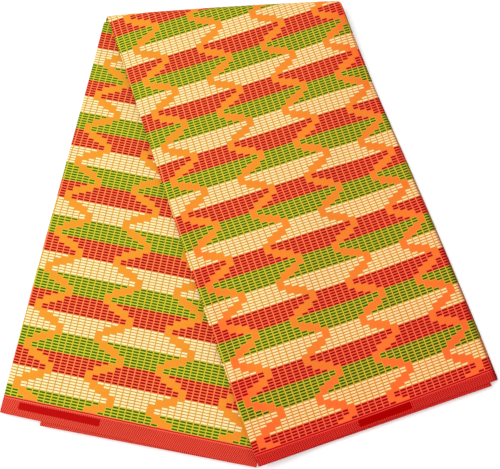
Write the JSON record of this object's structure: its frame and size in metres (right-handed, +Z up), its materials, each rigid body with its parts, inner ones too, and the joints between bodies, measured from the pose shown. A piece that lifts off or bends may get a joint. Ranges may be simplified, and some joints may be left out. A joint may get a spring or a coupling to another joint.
{
  "type": "folded ankara fabric",
  "caption": "Length of printed cotton cloth folded to and fro into a flat strip, then folded once askew so that its two legs fan out.",
  "frame": {"origin": "middle of the bounding box, on the surface that the cloth lies on", "axes": "+Z up, +X along the main fold to the right, +Y from the selvages towards the main fold"},
  "size_m": [0.5884, 0.5912, 0.0202],
  "materials": {
    "printed_cotton": "matt plain-woven cotton, printed through with stepped zigzags on bands of small bricks"
  },
  "bodies": {
    "root": {"folded_cloth": "printed_cotton"}
  },
  "joints": []
}
